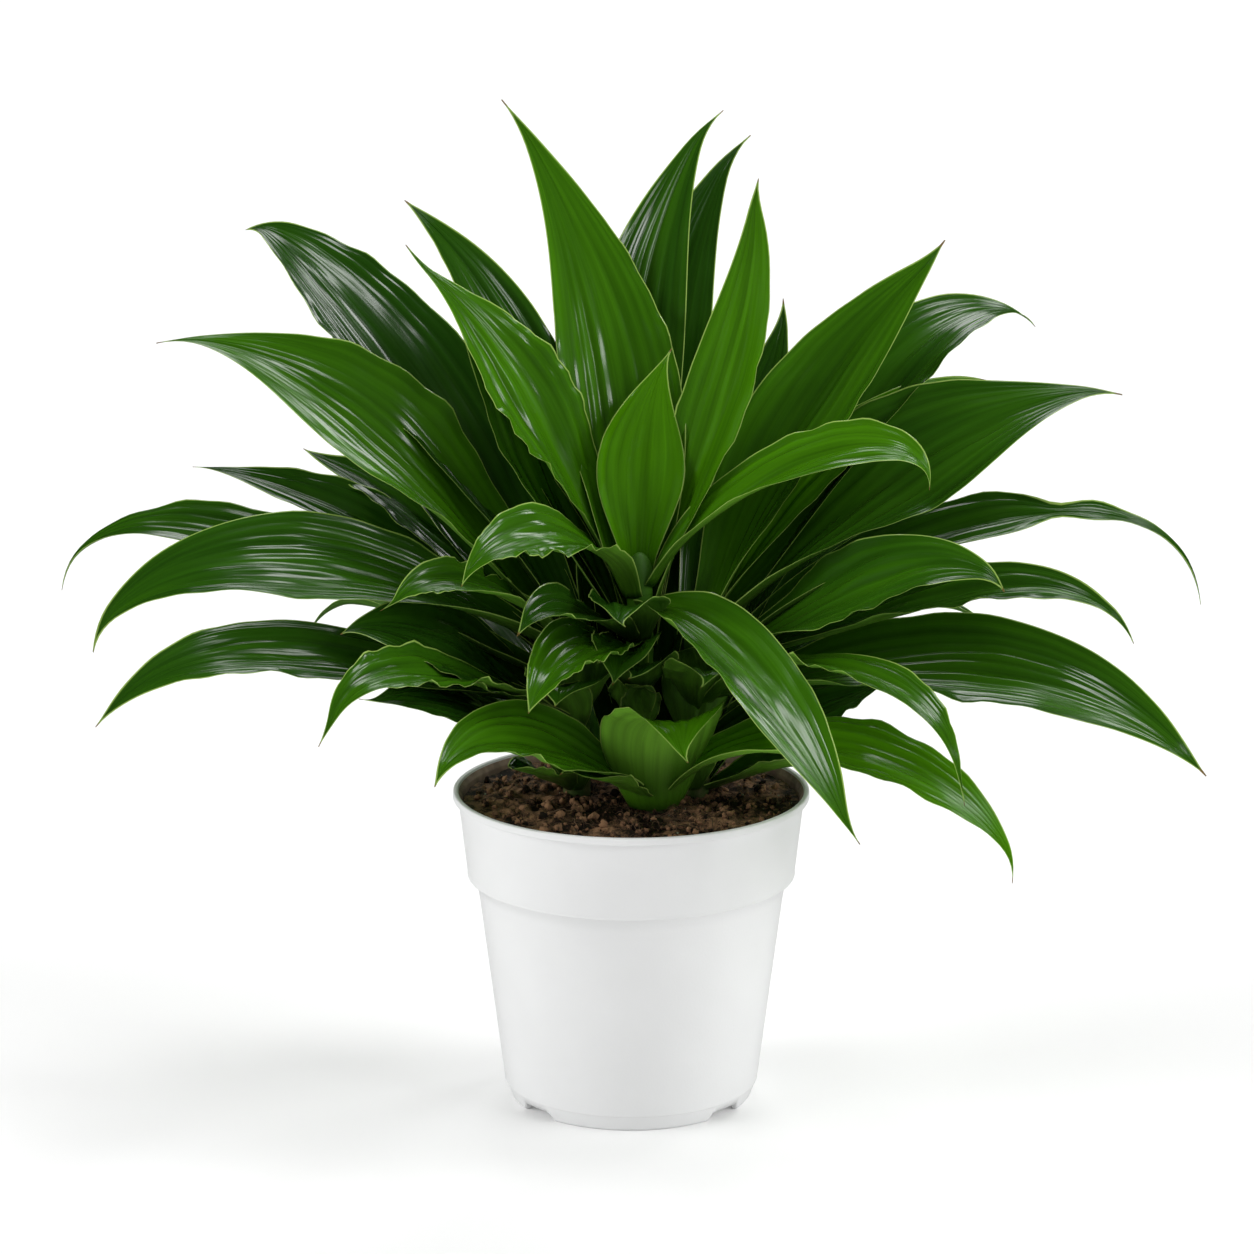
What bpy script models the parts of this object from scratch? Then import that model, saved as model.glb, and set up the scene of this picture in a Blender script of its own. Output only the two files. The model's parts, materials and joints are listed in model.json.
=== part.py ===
"""Potted dracaena: a round nursery pot filled with soil, and four leafy shoots standing in it.

Metres, +Z up. The origin is the centre of the ring that the pot stands on. The leaves of one shoot
and its stem grew as one piece, so each shoot is one solid.
"""
from dataclasses import dataclass
from math import cos, pi, radians, sin

import bmesh
import bpy
import numpy as np

MM = 0.001
GAP = 0.3 * MM  # clearance between touching solids

# Pot
POT_HEIGHT = 152 * MM
LIP_R = 85.0 * MM  # outside of the rolled lip
LIP_HEIGHT = 3.5 * MM
LIP_EDGE = 0.8 * MM  # bevel along the lip's edges
MOUTH_R = 82.3 * MM  # inside of the lip
BAND_TOP_R = 82.4 * MM
BAND_FOOT_R = 78.2 * MM
BAND_FOOT_Z = 109 * MM
WALL_TOP_R = 73.2 * MM  # under the band's bevel
WALL_TOP_Z = 104 * MM
BAND_EDGE = 0.9 * MM  # bevel along the band's lower edge
WALL_FOOT_R = 61.0 * MM
SEAM_Z = 8 * MM  # mould line just above the foot
FOOT_R = 57.6 * MM  # outside of the ring that the pot stands on
FOOT_WIDTH = 2.4 * MM
WALL = 1.5 * MM
BASE_Z = 5 * MM  # underside of the raised base
BASE_THICKNESS = 1.6 * MM
BASE_CORNER = 1.5 * MM  # bevel between the base and the wall, inside
NOTCH_HEIGHT = 4.6 * MM
NOTCH_WIDTH = 22 * MM
NOTCH_TAPER = 0.72  # width at its top, as a share of the width at the floor
NOTCH_DEPTH = 16 * MM  # across the ring
NOTCH_TURNS = (-140, -40, 40, 140)  # degrees from +X
DRAIN_R = 3.5 * MM
DRAIN_CIRCLE_R = 34 * MM
DRAINS = 6
POT_STEPS = 36

# Soil
SOIL_Z = 146 * MM  # level at the wall
SOIL_STEPS = 30
SOIL_RINGS = (15, 29, 43, 56, 68)  # mm, radii of the rings of points on top
LUMP = 2.0 * MM  # height of the largest lumps
STEM_SINK = 60 * MM  # depth of stem below the soil's level
STEM_PLAY = 0.5 * MM  # between a stem and its hole

# Shoots: where each stem stands (x, y), its top and its radius, in mm
STEMS = {
    "shoot_centre": (4, 14, 252, 8.0),
    "shoot_left": (-26, 10, 230, 7.5),
    "shoot_right": (31, 10, 232, 7.5),
    "shoot_front": (12, -18, 152, 7.5),
}
STEM_SIDES = 12
STEM_TAPER = 0.8  # radius at its top, as a share of the radius at its foot
BLADE = 0.8 * MM  # thickness
ALONG = 7  # segments along a blade
ALONG_SHORT = 6  # on a blade that reaches less than SHORT_REACH
SHORT_REACH = 85  # mm
WIDE_BLADE = 56  # mm; a blade at least this wide gets four segments across, others get two
FINEST = 0.012  # half width at the tip, as a share of the widest
WAVE = 2  # mm, height of the waves along the edges


@dataclass
class Leaf:
    """One blade. Heights are above the floor; lengths in mm, angles in degrees."""

    turn: float  # heading seen from above, from +X towards +Y
    root: float  # height at the stem
    rise: float  # slope where it leaves the stem
    reach: float  # distance of the tip from the stem's axis
    tip: float  # height of the tip
    dip: float  # slope at the tip
    sway: float  # sideways bend of the tip
    width: float
    roll: float  # turn about its own midrib
    peak: float = 0.92  # smaller: widest nearer the stem
    taper: float = 1.25  # larger: a longer, thinner tip
    near: float = 0.40  # how long it keeps the slope at the stem
    far: float = 0.34  # how long it keeps the slope at the tip
    sheath: float = 0.42  # half width where it clasps the stem, as a share of the widest
    sunk: float = 0.9  # where it begins, out from the stem's axis, as a share of the stem's radius
    bend: float = 3  # how late the sideways bend comes; smaller is earlier


LEAVES = {
    "shoot_centre": (
        # the upright young leaves in the middle
        Leaf(101, 232, 82, 112, 467, 60, 45, 56, 0, peak=0.76, taper=1.4),
        Leaf(99, 226, 69, 118, 461, 50, -57, 46, 0),
        Leaf(88, 218, 67, 125, 449, 60, -47, 50, 0),
        Leaf(30, 236, 72, 62, 437, 98, 6, 34, 40, far=0.25),
        Leaf(98, 250, 86, 28, 357, 75, -19, 42, 0, taper=1.5),
        Leaf(170, 242, 65, 114, 405, 34, 0, 44, -42, taper=1.6),
        Leaf(150, 222, 60, 122, 425, 36, 14, 42, -30, taper=1.1),
        Leaf(137, 234, 64, 104, 410, 60, 26, 36, -24),
        Leaf(166, 222, 58, 98, 388, 45, 6, 44, -40),
        # arching out over the front
        Leaf(-10, 248, 66, 139, 300, -80, 0, 36, 30),
        Leaf(222, 243, 72, 110, 265, -60, 0, 36, -25),
        Leaf(-58, 238, 12, 180, 166, -48, 0, 46, 0, near=0.3, far=0.3, peak=0.8),
        Leaf(237, 205, 70, 94, 206, -60, 0, 40, -10),
        Leaf(228, 222, 34, 84, 240, -40, 0, 36, -15),
        Leaf(258, 214, 58, 56, 214, -60, 0, 32, 0),
        Leaf(-100, 222, 70, 60, 242, -50, 0, 38, 0),
        Leaf(-92, 196, 60, 48, 214, -50, 0, 38, 0),
        # short ones inside the crown
        Leaf(-86, 176, 76, 22, 204, 20, 0, 20, 0, sheath=0.3),
        Leaf(246, 180, 76, 22, 206, 20, 0, 24, 0),
        # behind
        Leaf(104, 215, 60, 118, 345, -5, 0, 58, 0),
        Leaf(83, 208, 55, 112, 315, -20, 0, 54, 0, sheath=0.7),
        Leaf(112, 205, 52, 115, 300, -30, 0, 54, 0, sheath=0.7),
        # the lowest, rising from the soil behind the stems
        Leaf(101, 151, 72, 44, 238, 30, 0, 40, 0),
        Leaf(107, 188, 68, 66, 288, 20, 0, 48, 0, sheath=0.52),
    ),
    "shoot_left": (
        # high and long, to the back
        Leaf(148, 229, 55, 192, 403, -13, 0, 62, -18, far=0.14),
        Leaf(170, 217, 54, 202, 361, -4, 0, 62, -36, taper=1.5),
        Leaf(160, 205, 41, 200, 293, 3, 0, 38, -20),
        Leaf(150, 210, 45, 157, 298, 10, 0, 38, -20),
        Leaf(133, 198, 45, 150, 280, -30, 0, 50, 0),
        # arching out to the side and front
        Leaf(175, 200, 23, 251, 244, -62, 0, 40, -20),
        Leaf(192, 215, 33, 233, 231, -57, 0, 53, -38, taper=1.5),
        Leaf(200, 188, 16, 234, 201, -50, 0, 38, -35),
        Leaf(222, 182, 33, 152, 197, -80, 0, 32, -20, far=0.4),
        Leaf(212, 222, 50, 102, 248, -60, 0, 27, -25),
        Leaf(204, 180, 34, 120, 240, 0, 0, 62, -30),
        Leaf(214, 168, 26, 118, 208, -5, 0, 48, -20),
        Leaf(262, 186, 60, 60, 205, -50, 0, 40, 0),
        # short ones inside the crown
        Leaf(280, 192, 82, 18, 226, 20, 0, 32, 0, sheath=0.3),
        Leaf(244, 176, 64, 40, 206, -30, 0, 32, 0),
        # low, behind
        Leaf(122, 186, 40, 128, 215, -50, 0, 52, 0),
        Leaf(148, 182, 34, 158, 205, -55, 0, 50, 0),
        # the lowest, rising from the soil
        Leaf(230, 150, 34, 50, 170, 20, 0, 32, 0),
        Leaf(262, 150, 72, 30, 184, 20, 0, 30, 0),
        Leaf(140, 151, 50, 62, 190, 0, 0, 36, 0),
        Leaf(96, 150, 34, 58, 180, -10, 0, 44, 0),
    ),
    "shoot_right": (
        # high and long, to the back
        Leaf(31, 230, 68, 142, 401, 36, 0, 54, 25),
        Leaf(36, 214, 52, 212, 352, -34, 0, 56, 15),
        Leaf(67, 222, 74, 118, 368, 60, 0, 38, 0, sheath=0.7),
        Leaf(24, 230, 56, 156, 336, 0, 0, 28, 30),
        Leaf(12, 224, 44, 208, 336, 2, 0, 70, 38, taper=1.5),
        Leaf(60, 200, 45, 132, 285, -30, 0, 52, 0, sheath=0.76),
        Leaf(42, 194, 38, 165, 255, -40, 0, 50, 0),
        # arching out to the side and front
        Leaf(3, 206, 48, 241, 237, -82, 0, 40, 25, peak=0.7, taper=3, far=0.36),
        Leaf(-24, 214, 20, 158, 266, -25, 0, 52, 35),
        Leaf(-12, 208, 19, 209, 232, -56, 0, 38, 25, peak=0.75, taper=1.5),
        Leaf(-18, 194, 17, 246, 176, -47, 0, 60, 30),
        Leaf(-45, 190, 50, 166, 174, -95, 0, 27, 0, far=0.42),
        Leaf(0, 170, 28, 98, 205, 20, 0, 44, 25),
        Leaf(-84, 190, 66, 50, 214, -40, 0, 38, 0),
        # short ones inside the crown
        Leaf(262, 172, 82, 20, 224, 20, 0, 32, 0, sheath=0.5),
        Leaf(-30, 160, 44, 50, 174, -50, 0, 30, 0),
        # low, behind
        Leaf(66, 182, 40, 122, 205, -50, 0, 48, 0, sheath=0.62),
        Leaf(28, 180, 34, 170, 202, -55, 0, 50, 0),
        # the lowest, rising from the soil
        Leaf(-14, 149, 26, 80, 165, -10, 0, 34, 0),
        Leaf(252, 150, 76, 22, 182, 20, 0, 26, 0),
        Leaf(50, 151, 50, 62, 190, 0, 0, 36, 0),
    ),
    "shoot_front": (
        # the low young shoot at the front
        Leaf(-8, 150, 58, 176, 137, -62, -57, 50, 15, near=0.38, sheath=0.15, sunk=0.4, bend=1.5),
        Leaf(192, 153, 34, 116, 183, -46, 57, 50, -20, sheath=0.15, sunk=0.4, bend=1.5),
        Leaf(-76, 148, 89, 47, 182, -80, 0, 56, 0, near=0.95, far=0.6, peak=0.72, sheath=0.6),
        Leaf(146, 150, 74, 27, 182, 30, 0, 26, 0),
        Leaf(206, 150, 44, 50, 174, 30, 0, 34, 0, sheath=0.3, sunk=0.4),
    ),
}


def clear_scene():
    for thing in list(bpy.data.objects):
        bpy.data.objects.remove(thing, do_unlink=True)


def make_material(name, colour, roughness):
    """A plain surface: base colour (linear red, green, blue) and roughness."""
    material = bpy.data.materials.new(name)
    material.use_nodes = True
    shader = material.node_tree.nodes["Principled BSDF"]
    shader.inputs["Base Color"].default_value = (*colour, 1)
    shader.inputs["Roughness"].default_value = roughness
    shader.inputs["Metallic"].default_value = 0
    material.diffuse_color = (*colour, 1)
    return material


def add_object(name, mesh, collection, material=None):
    thing = bpy.data.objects.new(name, mesh)
    collection.objects.link(thing)
    if material:
        mesh.materials.clear()
        mesh.materials.append(material)
    return thing


def make_turned(name, profile, steps, collection):
    """Turns a profile of (radius, height) about Z; it runs down the outer side and ends on the axis."""
    mesh = bpy.data.meshes.new(name)
    edges = [(i, i + 1) for i in range(len(profile) - 1)]
    mesh.from_pydata([(r, 0, z) for r, z in profile], edges, [])
    thing = add_object(name, mesh, collection)
    screw = thing.modifiers.new("Turn", "SCREW")
    screw.steps = steps
    screw.render_steps = steps
    screw.use_merge_vertices = True
    screw.merge_threshold = 0.00001
    return apply_modifiers(thing)


def apply_modifiers(thing):
    """Replaces an object's mesh by the one that its modifiers give."""
    depsgraph = bpy.context.evaluated_depsgraph_get()
    mesh = bpy.data.meshes.new_from_object(thing.evaluated_get(depsgraph))
    thing.modifiers.clear()
    thing.data = mesh
    return thing


def make_cylinder(name, radius, z_low, z_high, sides, collection, x=0.0, y=0.0, top_radius=None):
    mesh = bpy.data.meshes.new(name)
    body = bmesh.new()
    bmesh.ops.create_cone(
        body,
        cap_ends=True,
        segments=sides,
        radius1=radius,
        radius2=radius if top_radius is None else top_radius,
        depth=z_high - z_low,
    )
    bmesh.ops.translate(body, vec=(x, y, (z_low + z_high) / 2), verts=body.verts)
    body.to_mesh(mesh)
    body.free()
    return add_object(name, mesh, collection)


def cut(thing, cutters):
    boolean = thing.modifiers.new("Cut", "BOOLEAN")
    boolean.operation = "DIFFERENCE"
    boolean.operand_type = "COLLECTION"
    boolean.collection = cutters
    boolean.solver = "EXACT"
    apply_modifiers(thing)


def make_helpers(name):
    """A collection for cutters or loose blades, which are removed after use."""
    helpers = bpy.data.collections.new(name)
    bpy.context.scene.collection.children.link(helpers)
    return helpers


def remove_helpers(helpers):
    for thing in list(helpers.objects):
        bpy.data.objects.remove(thing, do_unlink=True)
    bpy.data.collections.remove(helpers)


def shade_round(thing, angle=40):
    thing.data.shade_smooth()
    thing.data.set_sharp_from_angle(angle=radians(angle))


def inner_radius(z):
    """Inside of the pot's wall at height z: the band above its bevel, the plain wall below."""
    band = BAND_FOOT_R + (BAND_TOP_R - BAND_FOOT_R) * (z - BAND_FOOT_Z) / (POT_HEIGHT - BAND_FOOT_Z)
    wall = WALL_FOOT_R + (WALL_TOP_R - WALL_FOOT_R) * (z - SEAM_Z) / (WALL_TOP_Z - SEAM_Z)
    return (band if z >= BAND_FOOT_Z else wall) - WALL


def make_pot(collection, material):
    lip_foot = POT_HEIGHT - LIP_HEIGHT
    profile = [
        (0, BASE_Z + BASE_THICKNESS),
        (inner_radius(SEAM_Z) - BASE_CORNER, BASE_Z + BASE_THICKNESS),
        (inner_radius(SEAM_Z), SEAM_Z),
        (inner_radius(WALL_TOP_Z), WALL_TOP_Z),
        (inner_radius(BAND_FOOT_Z), BAND_FOOT_Z),
        (inner_radius(lip_foot), lip_foot),
        (MOUTH_R, POT_HEIGHT - LIP_EDGE),
        (MOUTH_R + LIP_EDGE, POT_HEIGHT),
        (LIP_R - LIP_EDGE, POT_HEIGHT),
        (LIP_R, POT_HEIGHT - LIP_EDGE),
        (LIP_R, lip_foot + LIP_EDGE),
        (LIP_R - LIP_EDGE, lip_foot),
        (BAND_TOP_R, lip_foot),
        (BAND_FOOT_R, BAND_FOOT_Z),
        (BAND_FOOT_R - BAND_EDGE, BAND_FOOT_Z - BAND_EDGE),
        (WALL_TOP_R, WALL_TOP_Z),
        (WALL_FOOT_R, SEAM_Z),
        (WALL_FOOT_R - 0.5 * MM, SEAM_Z - 0.4 * MM),
        (WALL_FOOT_R - 1.4 * MM, SEAM_Z * 0.4),
        (FOOT_R + 0.4 * MM, 0.6 * MM),
        (FOOT_R - 0.3 * MM, 0),
        (FOOT_R - FOOT_WIDTH, 0),
        (FOOT_R - FOOT_WIDTH, BASE_Z),
        (0, BASE_Z),
    ]
    pot = make_turned("pot", profile, POT_STEPS, collection)
    cutters = make_helpers("pot_cutters")
    for turn in NOTCH_TURNS:
        add_notch_cutter(radians(turn), cutters)
    for k in range(DRAINS):
        angle = 2 * pi * (k + 0.5) / DRAINS
        x, y = DRAIN_CIRCLE_R * cos(angle), DRAIN_CIRCLE_R * sin(angle)
        make_cylinder("drain", DRAIN_R, 0, 2 * BASE_Z, 12, cutters, x, y)
    cut(pot, cutters)
    remove_helpers(cutters)
    pot.data.materials.clear()
    pot.data.materials.append(material)
    shade_round(pot, 30)
    return pot


def add_notch_cutter(angle, collection):
    """A block across the foot ring, from inside it to outside the wall, narrower at its top."""
    mesh = bpy.data.meshes.new("notch")
    body = bmesh.new()
    bmesh.ops.create_cube(body, size=1)
    for corner in body.verts:
        half = NOTCH_WIDTH / 2 * (NOTCH_TAPER if corner.co.z > 0 else 1)
        corner.co.x *= NOTCH_DEPTH
        corner.co.y = half if corner.co.y > 0 else -half
        corner.co.z = NOTCH_HEIGHT if corner.co.z > 0 else -2 * MM
    body.to_mesh(mesh)
    body.free()
    cutter = add_object("notch", mesh, collection)
    cutter.rotation_euler.z = angle
    cutter.location = (FOOT_R * cos(angle), FOOT_R * sin(angle), 0)
    cutter.hide_render = True
    cutter.display_type = "WIRE"


def soil_lumps(x, y):
    """Height of the lumps at (x, y): three crossed waves, faded out at the wall."""
    wave = np.sin(x / 0.0113 + 1.3) * np.cos(y / 0.0097 - 0.4)
    wave = wave + 0.6 * np.sin((x + y) / 0.0061 + 0.8)
    wave = wave + 0.5 * np.cos((x - 0.6 * y) / 0.0049)
    fade = np.clip((0.076 - np.hypot(x, y)) / 0.02, 0, 1)
    return LUMP * fade * (0.5 * wave + 0.25)


def make_soil(collection, material):
    floor_z = BASE_Z + BASE_THICKNESS + GAP
    edge_r = inner_radius(SOIL_Z) - GAP
    profile = [(0, SOIL_Z)]
    profile += [(r * MM, SOIL_Z) for r in SOIL_RINGS]
    profile += [(edge_r, SOIL_Z)]
    profile += [(inner_radius(BAND_FOOT_Z) - GAP, BAND_FOOT_Z)]
    profile += [(inner_radius(WALL_TOP_Z) - GAP, WALL_TOP_Z)]
    profile += [(inner_radius(SEAM_Z) - GAP, SEAM_Z + GAP)]
    profile += [(inner_radius(SEAM_Z) - BASE_CORNER - GAP, floor_z)]
    profile += [(0, floor_z)]
    soil = make_turned("soil", profile, SOIL_STEPS, collection)
    for point in soil.data.vertices:
        if point.co.z > SOIL_Z - GAP:
            point.co.z += float(soil_lumps(point.co.x, point.co.y))
    cutters = make_helpers("stem_holes")
    for x, y, _, radius in STEMS.values():
        hole = radius * MM + STEM_PLAY
        bottom = SOIL_Z - STEM_SINK - GAP
        make_cylinder("stem_hole", hole, bottom, SOIL_Z + 0.01, 20, cutters, x * MM, y * MM)
    cut(soil, cutters)
    remove_helpers(cutters)
    soil.data.materials.clear()
    soil.data.materials.append(material)
    shade_round(soil, 60)
    return soil


def unit(vectors):
    return vectors / np.linalg.norm(vectors, axis=-1, keepdims=True)


def leaf_surface(leaf, stem, along, across):
    """Grid of points on a blade's middle surface, in metres.

    The midrib is a cubic Bezier curve from the stem to the tip in the upright plane of the leaf's
    heading, bent sideways by sway t^bend. Across it the blade is an arc that clasps the stem at the
    root and opens outwards, with a wave that grows towards the edges.
    """
    stem_x, stem_y, _, stem_radius = stem
    t = np.linspace(0, 1, along + 1)[:, None]
    s = np.linspace(-1, 1, across + 1)[None, :]
    turn, rise, dip = radians(leaf.turn), radians(leaf.rise), radians(leaf.dip)
    root = np.array([stem_radius * leaf.sunk, leaf.root])
    tip = np.array([leaf.reach, leaf.tip])
    chord = np.linalg.norm(tip - root)
    knee = root + chord * leaf.near * np.array([cos(rise), sin(rise)])
    bow = tip - chord * leaf.far * np.array([cos(dip), sin(dip)])
    curve = (1 - t) ** 3 * root + 3 * t * (1 - t) ** 2 * knee + 3 * t**2 * (1 - t) * bow + t**3 * tip
    heading = np.array([cos(turn), sin(turn), 0])
    sideways = np.array([-sin(turn), cos(turn), 0])
    upwards = np.array([0, 0, 1])
    midrib = np.array([stem_x, stem_y, 0]) + curve[:, :1] * heading + curve[:, 1:] * upwards
    midrib = midrib + leaf.sway * t**leaf.bend * sideways
    tangent = unit(np.gradient(midrib, axis=0))
    level = unit(sideways - (tangent @ sideways)[:, None] * tangent)
    normal = np.cross(tangent, level)
    roll = radians(leaf.roll) * np.clip(t / 0.5, 0, 1)
    side = level * np.cos(roll) + normal * np.sin(roll)
    face = normal * np.cos(roll) - level * np.sin(roll)

    blade = np.sin(pi * t**leaf.peak) ** leaf.taper
    sheath = leaf.sheath * (1 - t) ** 2.2
    half = leaf.width / 2 * np.maximum(blade + sheath * (1 - 0.3 * blade), FINEST)
    arc = (0.5 + 0.75 * (1 - t) ** 3) * (1 - 0.5 * t**3)
    wave = WAVE * np.sqrt(np.sin(pi * t)) * np.abs(s) ** 2.5
    wave = wave * np.sin(3.2 * pi * t + 0.13 * leaf.turn + 1.3 * np.sign(s))
    out = half * np.sin(arc * s) / arc
    up = half * (1 - np.cos(arc * s)) / arc + wave
    points = midrib[:, None] + out[..., None] * side[:, None] + up[..., None] * face[:, None]
    return points * MM


def make_blade(leaf, stem, collection):
    """A blade as an open sheet of triangles, the same on both faces once it is thickened."""
    across = 4 if leaf.width >= WIDE_BLADE else 2
    along = ALONG_SHORT if leaf.reach < SHORT_REACH else ALONG
    points = leaf_surface(leaf, stem, along, across)
    index = np.arange(points.shape[0] * points.shape[1]).reshape(points.shape[:2])
    low, high = index[:-1], index[1:]
    quads = np.stack([low[:, :-1], high[:, :-1], high[:, 1:], low[:, 1:]], axis=-1).reshape(-1, 4)
    faces = np.concatenate([quads[:, (0, 1, 2)], quads[:, (0, 2, 3)]])
    mesh = bpy.data.meshes.new("blade")
    mesh.from_pydata(points.reshape(-1, 3).tolist(), [], faces.tolist())
    blade = add_object("blade", mesh, collection)
    solidify = blade.modifiers.new("Thickness", "SOLIDIFY")
    solidify.thickness = BLADE
    solidify.offset = 0
    return apply_modifiers(blade)


def keep_outer_skin(thing):
    """Leaves only the largest connected skin: loose scraps go, and sealed hollows are filled."""
    body = bmesh.new()
    body.from_mesh(thing.data)
    bmesh.ops.remove_doubles(body, verts=body.verts, dist=0.001 * MM)
    waiting = set(body.faces)
    largest = []
    while waiting:
        island = [waiting.pop()]
        for face in island:
            for edge in face.edges:
                fresh = [other for other in edge.link_faces if other in waiting]
                waiting.difference_update(fresh)
                island.extend(fresh)
        if len(island) > len(largest):
            largest = island
    kept = set(largest)
    bmesh.ops.delete(body, geom=[face for face in body.faces if face not in kept], context="FACES")
    body.to_mesh(thing.data)
    body.free()


def make_shoot(name, collection, material):
    """A stem with its leaves, joined in one solid."""
    stem = STEMS[name]
    x, y, top, radius = stem
    bottom = SOIL_Z - STEM_SINK
    shoot = make_cylinder(
        name, radius * MM, bottom, top * MM, STEM_SIDES, collection, x * MM, y * MM, radius * MM * STEM_TAPER
    )
    blades = make_helpers(name + "_blades")
    for leaf in LEAVES[name]:
        make_blade(leaf, stem, blades)
    union = shoot.modifiers.new("Leaves", "BOOLEAN")
    union.operation = "UNION"
    union.operand_type = "COLLECTION"
    union.collection = blades
    union.solver = "MANIFOLD"
    apply_modifiers(shoot)
    remove_helpers(blades)
    keep_outer_skin(shoot)
    shoot.data.materials.clear()
    shoot.data.materials.append(material)
    shade_round(shoot, 50)
    return shoot


def main():
    clear_scene()
    collection = bpy.data.collections.new("potted_dracaena")
    bpy.context.scene.collection.children.link(collection)
    make_pot(collection, make_material("pot", (0.80, 0.81, 0.82), 0.38))
    make_soil(collection, make_material("soil", (0.035, 0.020, 0.013), 0.95))
    for name in STEMS:
        green = (0.05, 0.17, 0.015) if name == "shoot_centre" else (0.022, 0.10, 0.018)
        make_shoot(name, collection, make_material(name, green, 0.32))


main()
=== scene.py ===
import json
from math import cos, pi, radians, sin

import bpy
import numpy as np
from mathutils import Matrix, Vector

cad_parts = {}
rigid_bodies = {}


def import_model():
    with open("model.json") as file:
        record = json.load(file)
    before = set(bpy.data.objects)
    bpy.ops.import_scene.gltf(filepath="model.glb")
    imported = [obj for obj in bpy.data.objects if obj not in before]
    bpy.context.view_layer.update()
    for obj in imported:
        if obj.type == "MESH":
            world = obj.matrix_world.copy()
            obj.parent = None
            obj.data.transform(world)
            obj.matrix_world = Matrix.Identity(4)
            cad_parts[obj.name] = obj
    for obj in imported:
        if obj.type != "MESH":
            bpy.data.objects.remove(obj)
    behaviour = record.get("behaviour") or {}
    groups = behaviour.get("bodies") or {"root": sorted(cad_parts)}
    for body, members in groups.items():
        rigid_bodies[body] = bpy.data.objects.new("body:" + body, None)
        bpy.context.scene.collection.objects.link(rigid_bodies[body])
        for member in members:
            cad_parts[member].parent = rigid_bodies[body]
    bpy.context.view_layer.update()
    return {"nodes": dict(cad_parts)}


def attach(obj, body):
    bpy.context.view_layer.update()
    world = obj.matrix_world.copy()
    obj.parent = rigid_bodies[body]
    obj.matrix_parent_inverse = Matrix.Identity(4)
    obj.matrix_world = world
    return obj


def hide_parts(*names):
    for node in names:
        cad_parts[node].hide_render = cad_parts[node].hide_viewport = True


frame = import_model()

millimetre = 0.001
print("frame loaded:", ", ".join(sorted(frame["nodes"])))


# Puts arrays into a new mesh object: points (n, 3), faces as lists of equal-sided index arrays
def makePiece(name, points, faceGroups, finish, values=None, uv=None, smooth=True):
    faceGroups = [np.asarray(group, dtype=np.int32) for group in faceGroups if len(group)]
    loops = np.concatenate([group.ravel() for group in faceGroups])
    sizes = np.concatenate([np.full(len(group), group.shape[1], dtype=np.int32) for group in faceGroups])
    starts = np.concatenate([[0], np.cumsum(sizes)[:-1]]).astype(np.int32)
    mesh = bpy.data.meshes.new(name)
    mesh.vertices.add(len(points))
    mesh.vertices.foreach_set("co", np.asarray(points, dtype=np.float32).ravel())
    mesh.loops.add(len(loops))
    mesh.loops.foreach_set("vertex_index", loops)
    mesh.polygons.add(len(sizes))
    mesh.polygons.foreach_set("loop_start", starts)
    mesh.polygons.foreach_set("use_smooth", np.full(len(sizes), smooth))
    if uv is not None:
        layer = mesh.uv_layers.new(name="UVMap")
        layer.data.foreach_set("uv", np.asarray(uv, dtype=np.float32)[loops].ravel())
    for key, value in (values or {}).items():
        attribute = mesh.attributes.new(key, "FLOAT", "POINT")
        attribute.data.foreach_set("value", np.asarray(value, dtype=np.float32).ravel())
    mesh.update(calc_edges=True)
    mesh.validate()
    piece = bpy.data.objects.new(name, mesh)
    bpy.context.scene.collection.objects.link(piece)
    mesh.materials.append(finish)
    return piece


# Says what a piece is to the frame: it rides on the one body and stands for nodes, which it hides; the
# slot is not used
def place(piece, slot, *nodes):
    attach(piece, "root")
    if nodes:
        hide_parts(*nodes)


# Quads of a grid of points with rows x columns, wrapped round in its columns where closed
def gridFaces(rows, columns, closed=False):
    index = np.arange(rows * columns).reshape(rows, columns)
    low, high = index[:-1], index[1:]
    if closed:
        nextLow, nextHigh = np.roll(low, -1, axis=1), np.roll(high, -1, axis=1)
    else:
        nextLow, nextHigh = low[:, 1:], high[:, 1:]
        low, high = low[:, :-1], high[:, :-1]
    return np.stack([low, high, nextHigh, nextLow], axis=-1).reshape(-1, 4)


def unit(vectors):
    return vectors / np.linalg.norm(vectors, axis=-1, keepdims=True)


def smoothStep(value, low, high):
    share = np.clip((value - low) / (high - low), 0, 1)
    return share * share * (3 - 2 * share)


# Smooth noise: random heights on a square lattice of the given cell, blended between its corners
def latticeNoise(x, y, cell, seed):
    size = 64
    heights = np.random.default_rng(seed).uniform(-1, 1, (size, size))
    column, row = np.floor(x / cell), np.floor(y / cell)
    across, up = x / cell - column, y / cell - row
    across, up = across * across * (3 - 2 * across), up * up * (3 - 2 * up)
    i, j = column.astype(int) % size, row.astype(int) % size
    k, m = (i + 1) % size, (j + 1) % size
    low = heights[i, j] * (1 - across) + heights[k, j] * across
    high = heights[i, m] * (1 - across) + heights[k, m] * across
    return low * (1 - up) + high * up


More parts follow.
